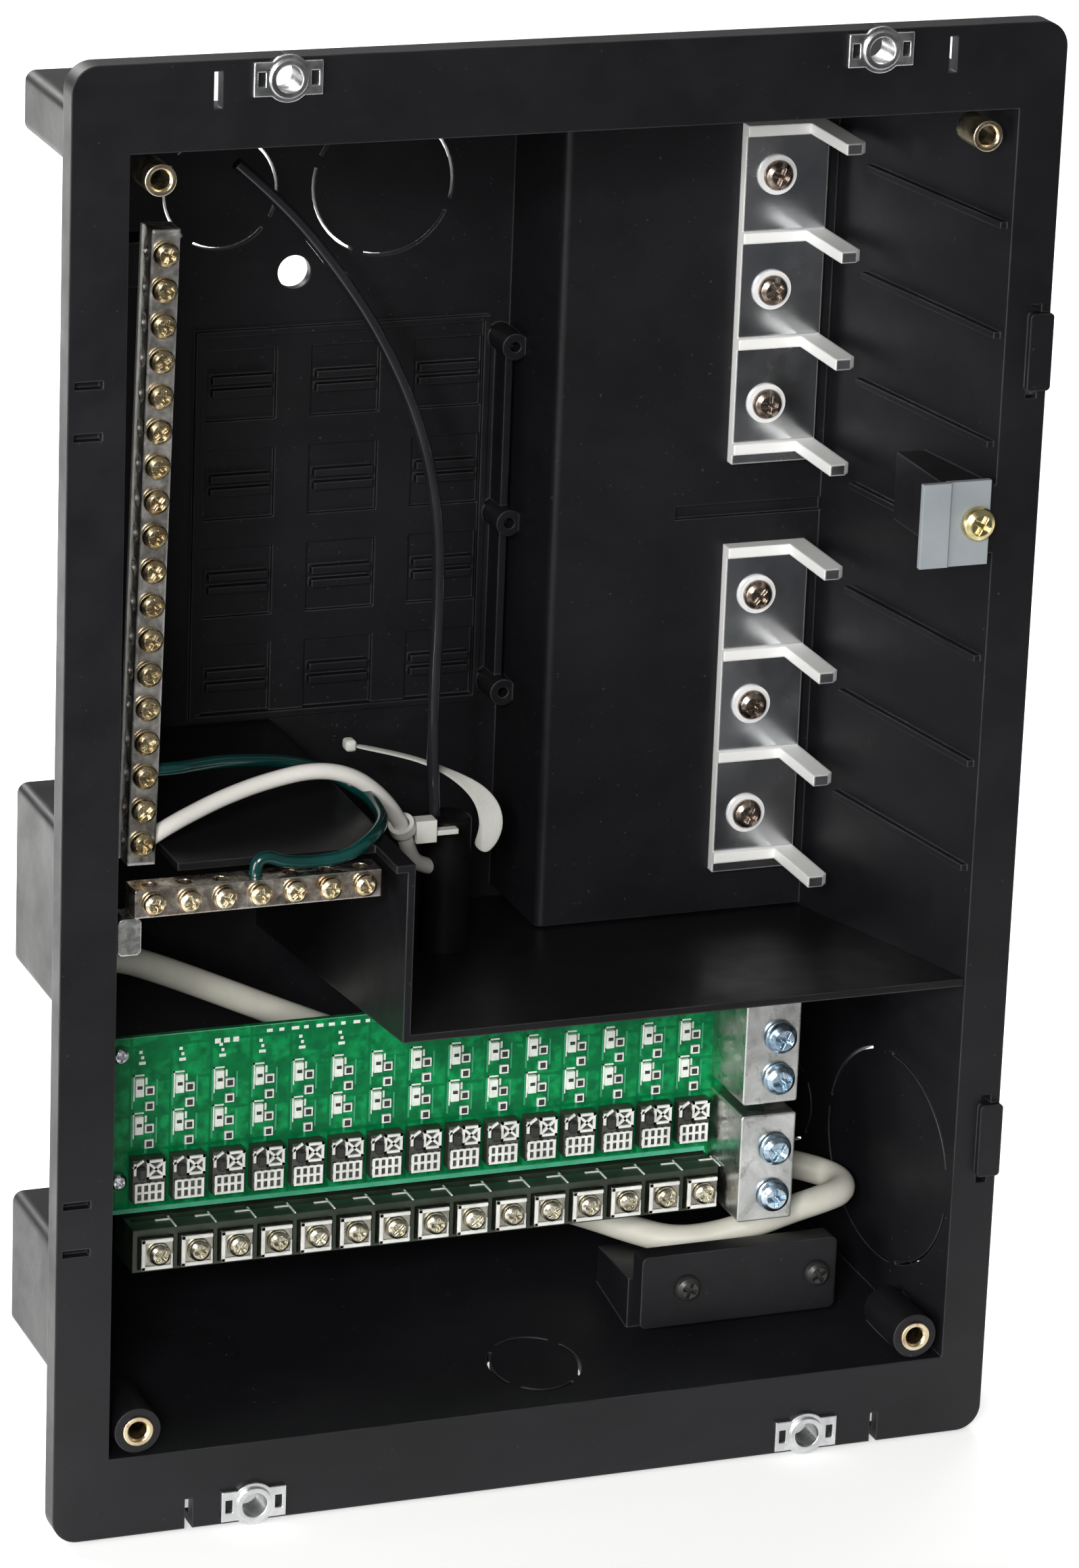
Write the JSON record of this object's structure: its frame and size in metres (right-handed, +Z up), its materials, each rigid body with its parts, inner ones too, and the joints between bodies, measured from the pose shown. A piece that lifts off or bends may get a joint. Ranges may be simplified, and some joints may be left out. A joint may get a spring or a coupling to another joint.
{
  "type": "subpanel enclosure",
  "caption": "Recessed black plastic subpanel box with a flange, bus bars on a raised platform, neutral and ground bars, a fuse board with feed lugs, and its wiring.",
  "frame": {"origin": "centre of the flange's four screw holes, on the flange's front face", "axes": "+X to the right seen from the front, +Y into the wall, +Z up"},
  "size_m": [0.2297, 0.112, 0.3424],
  "materials": {
    "housing": "moulded, slight gloss",
    "partition": "moulded, slight gloss",
    "insert_brass": "machined",
    "nut_steel": "zinc plated",
    "bus_aluminium": "extruded, bright",
    "screw_steel": "bright zinc",
    "washer_steel": "bright zinc",
    "bar_aluminium": "extruded, bright",
    "bar_screws": "yellow zinc",
    "ground_aluminium": "extruded, bright",
    "clip_steel": "zinc plated",
    "board_green": "solder resist over glass laminate",
    "holder_plastic": "moulded",
    "clip_tin": "tin plated",
    "lamp": "clear white",
    "block_plastic": "moulded",
    "lug_aluminium": "tin plated",
    "lug_zinc": "blue zinc",
    "cable_white": "cable jacket",
    "wire_white": "wire insulation",
    "wire_black": "wire insulation",
    "wire_green": "wire insulation",
    "jacket_black": "cable jacket",
    "tie_nylon": "natural nylon"
  },
  "bodies": {
    "enclosure": {"enclosure_body": "housing", "partition": "partition", "cover_screw_inserts": "insert_brass", "clip_nuts": "nut_steel", "bus_bar_upper": "bus_aluminium", "bus_bar_lower": "bus_aluminium", "bus_bar_screws": "screw_steel", "bus_bar_washers": "washer_steel", "neutral_bar": "bar_aluminium", "neutral_bar_screws": "bar_screws", "ground_bar": "ground_aluminium", "ground_bar_screws": "bar_screws", "ground_bar_bracket": "nut_steel", "hold_down_screw": "bar_screws", "fuse_board": "board_green", "board_screws": "screw_steel", "fuse_holders": "holder_plastic", "fuse_clips": "clip_tin", "indicator_lamps": "lamp", "test_pads": "clip_tin", "terminal_block": "block_plastic", "terminal_plates": "clip_tin", "terminal_screws": "screw_steel", "lug_upper": "lug_aluminium", "lug_lower": "lug_aluminium", "lug_bolts": "screw_steel", "cable_clamp_bar": "housing", "cable_clamp_screws": "screw_steel", "cable_sheath": "jacket_black", "cable_tie_small": "tie_nylon", "cable_tie_wide": "tie_nylon", "feed_cable": "cable_white", "black_wire": "wire_black", "white_wire": "wire_white", "green_wire": "wire_green"},
    "hold_down_clip": {"hold_down_clip": "clip_steel"},
    "lug_screw_1": {"lug_screw_1": "lug_zinc"},
    "lug_screw_2": {"lug_screw_2": "lug_zinc"},
    "lug_screw_3": {"lug_screw_3": "lug_zinc"},
    "lug_screw_4": {"lug_screw_4": "lug_zinc"}
  },
  "joints": [
    {"name": "hold_down_clip_swing", "type": "hinge", "parent": "enclosure", "child": "hold_down_clip", "pos_m": [0.0978, -0.001, 0.0561], "axis": [0, 1, 0], "range_deg": [0, 90]},
    {"name": "lug_screw_1_travel", "type": "slide", "parent": "enclosure", "child": "lug_screw_1", "axis": [0, -1, 0], "range_m": [0, 0.006]},
    {"name": "lug_screw_2_travel", "type": "slide", "parent": "enclosure", "child": "lug_screw_2", "axis": [0, -1, 0], "range_m": [0, 0.006]},
    {"name": "lug_screw_3_travel", "type": "slide", "parent": "enclosure", "child": "lug_screw_3", "axis": [0, -1, 0], "range_m": [0, 0.006]},
    {"name": "lug_screw_4_travel", "type": "slide", "parent": "enclosure", "child": "lug_screw_4", "axis": [0, -1, 0], "range_m": [0, 0.006]}
  ]
}
